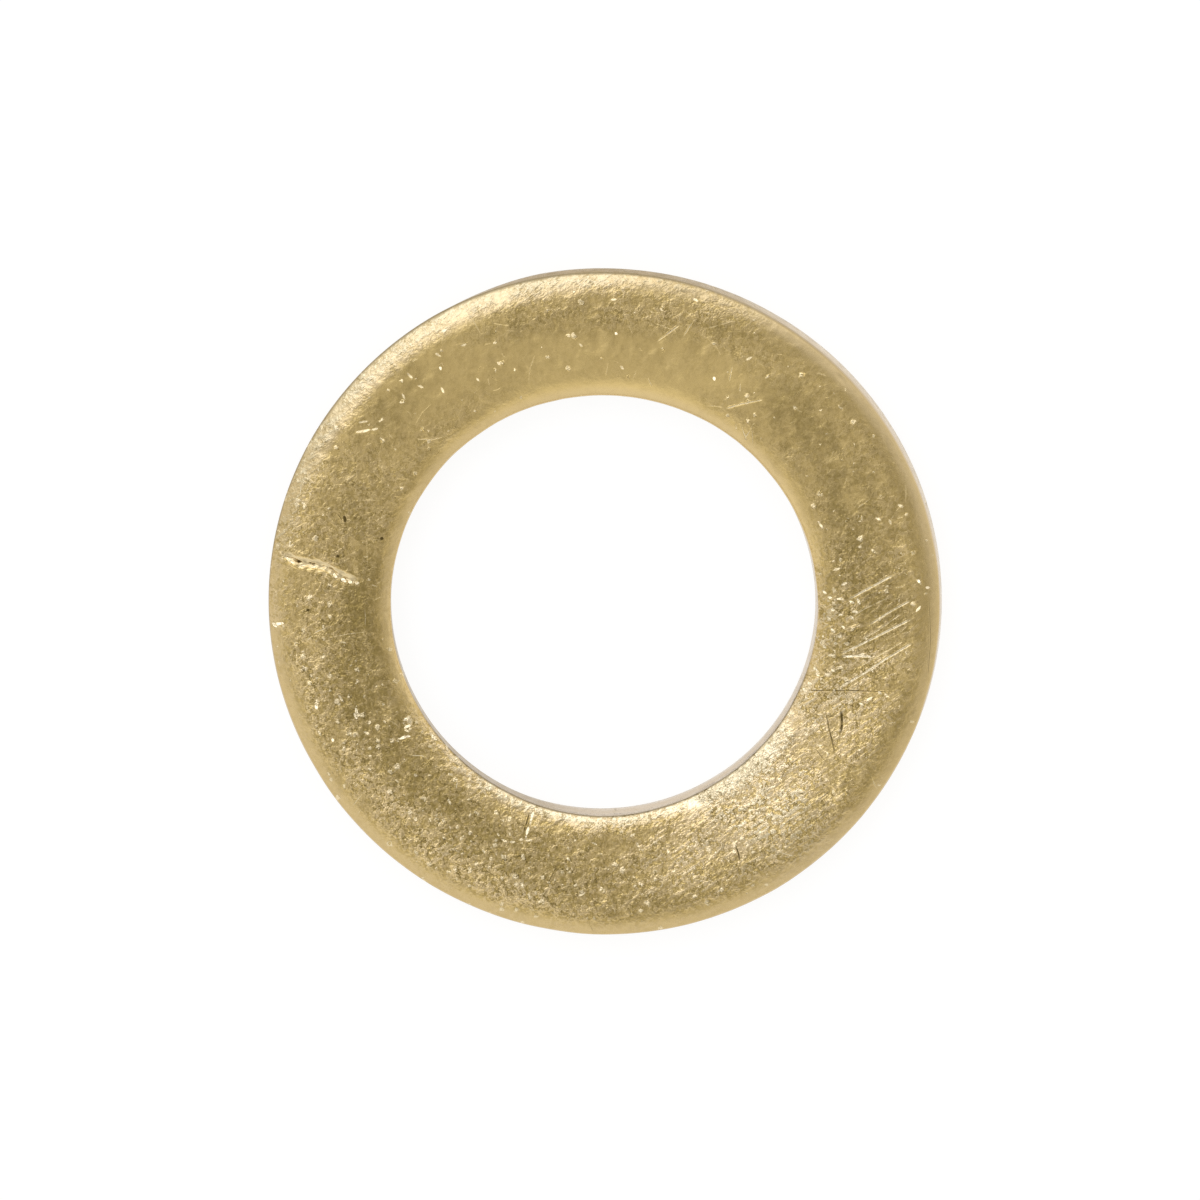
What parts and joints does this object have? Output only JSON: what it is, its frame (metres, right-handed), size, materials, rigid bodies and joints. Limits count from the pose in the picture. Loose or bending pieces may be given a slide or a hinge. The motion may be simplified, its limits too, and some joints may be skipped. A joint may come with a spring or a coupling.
{
  "type": "sealing ring",
  "caption": "Flat stamped brass sealing ring with rolled edges on one face, for sealing a hollow bolt or plug.",
  "frame": {"origin": "centre of the ring on its flat lower face", "axes": "+Z along the bore axis, towards the face with the rolled edges; the gouge in that face lies towards -X"},
  "size_m": [0.022, 0.022, 0.0015],
  "materials": {
    "brass": "worn, tumbled"
  },
  "bodies": {
    "root": {"sealing_ring": "brass"}
  },
  "joints": []
}
